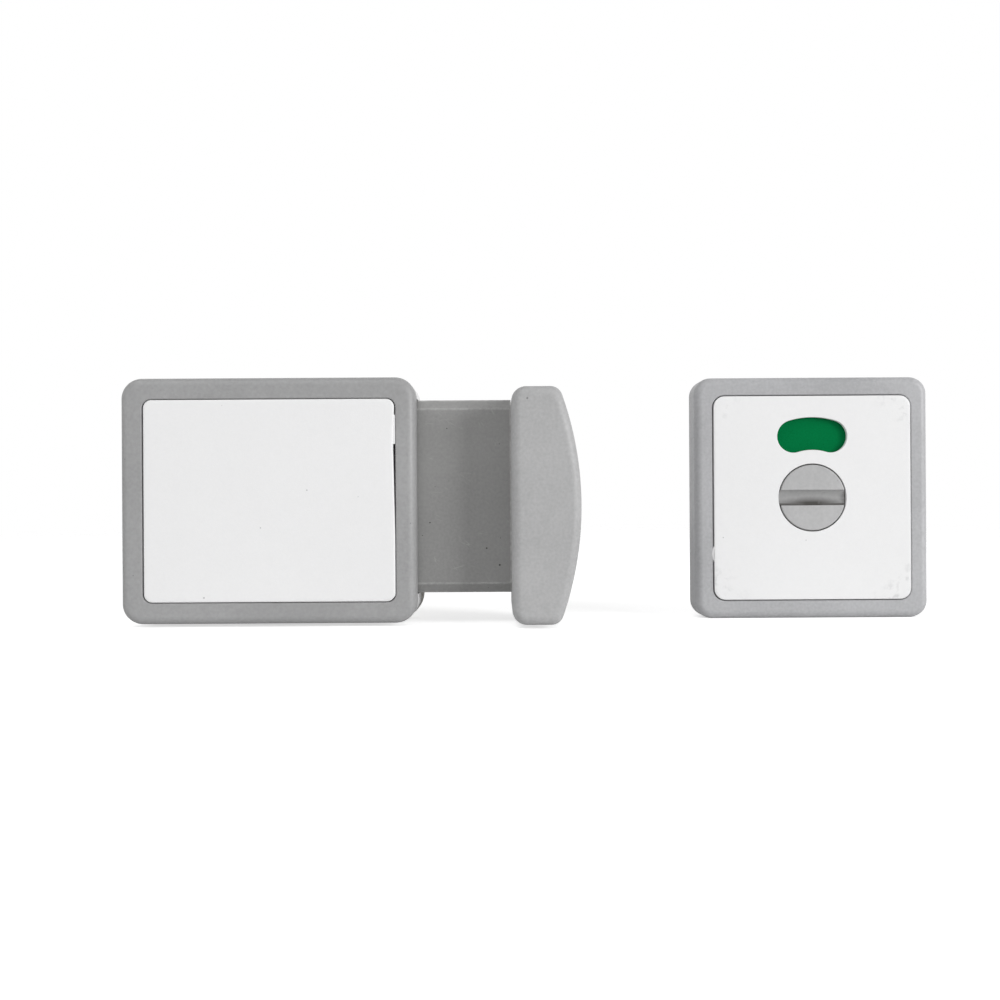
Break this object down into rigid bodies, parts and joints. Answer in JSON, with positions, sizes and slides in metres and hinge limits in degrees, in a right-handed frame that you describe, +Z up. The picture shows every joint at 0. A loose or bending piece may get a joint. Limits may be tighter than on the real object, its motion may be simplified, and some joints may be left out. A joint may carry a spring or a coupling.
{
  "type": "bathroom door latch",
  "caption": "Bathroom slide bolt with pull bar, and its outdoor unit with a coin turn and a vacant or engaged window, side by side on the door plane.",
  "frame": {"origin": "centre of the indoor unit's two fixing holes, on the door's face and on the pinion's axis", "axes": "+X along the door, the way the bolt goes out; +Y into the door; +Z up"},
  "size_m": [0.2021, 0.067, 0.0616],
  "materials": {
    "tray_steel": "pressed steel, dark",
    "white_plastic": "white moulding, satin",
    "grey_plastic": "mid grey moulding, satin",
    "dark_grey_plastic": "darker grey moulding, satin, lightly scratched",
    "natural_acetal": "natural acetal",
    "zinc_steel": "zinc plated",
    "spring_steel": "bright strip",
    "insert_brass": "turned",
    "green_film": "green, gloss",
    "red_film": "red, gloss"
  },
  "bodies": {
    "housing": {"back_plate": "tray_steel", "slide_channel": "white_plastic", "casing": "grey_plastic", "cover": "white_plastic", "casing_screws": "zinc_steel", "friction_spring": "spring_steel", "outdoor_frame": "grey_plastic", "faceplate": "white_plastic", "spring_washer": "spring_steel", "threaded_inserts": "insert_brass"},
    "slide": {"bolt": "dark_grey_plastic", "grip": "grey_plastic", "grip_screws": "zinc_steel"},
    "drive_pinion": {"pinion": "natural_acetal"},
    "turn": {"coin_turn": "grey_plastic", "spindle": "zinc_steel", "indicator_disc": "natural_acetal", "green_panel": "green_film", "red_panel": "red_film", "retaining_clip": "spring_steel"}
  },
  "joints": [
    {"name": "bolt_slide", "type": "slide", "parent": "housing", "child": "slide", "axis": [1, 0, 0], "range_m": [0, 0.02199]},
    {"name": "pinion_turn", "type": "hinge", "parent": "housing", "child": "drive_pinion", "pos_m": [0, 0, 0], "axis": [0, 1, 0], "range_deg": [0, 180]},
    {"name": "coin_turn", "type": "hinge", "parent": "housing", "child": "turn", "pos_m": [0.1359, 0, 0], "axis": [0, -1, 0], "range_deg": [0, 180]}
  ],
  "couplings": [
    {"joint": "pinion_turn", "follows": "bolt_slide", "rad_per_m": 142.86},
    {"joint": "coin_turn", "follows": "bolt_slide", "rad_per_m": 142.86}
  ]
}
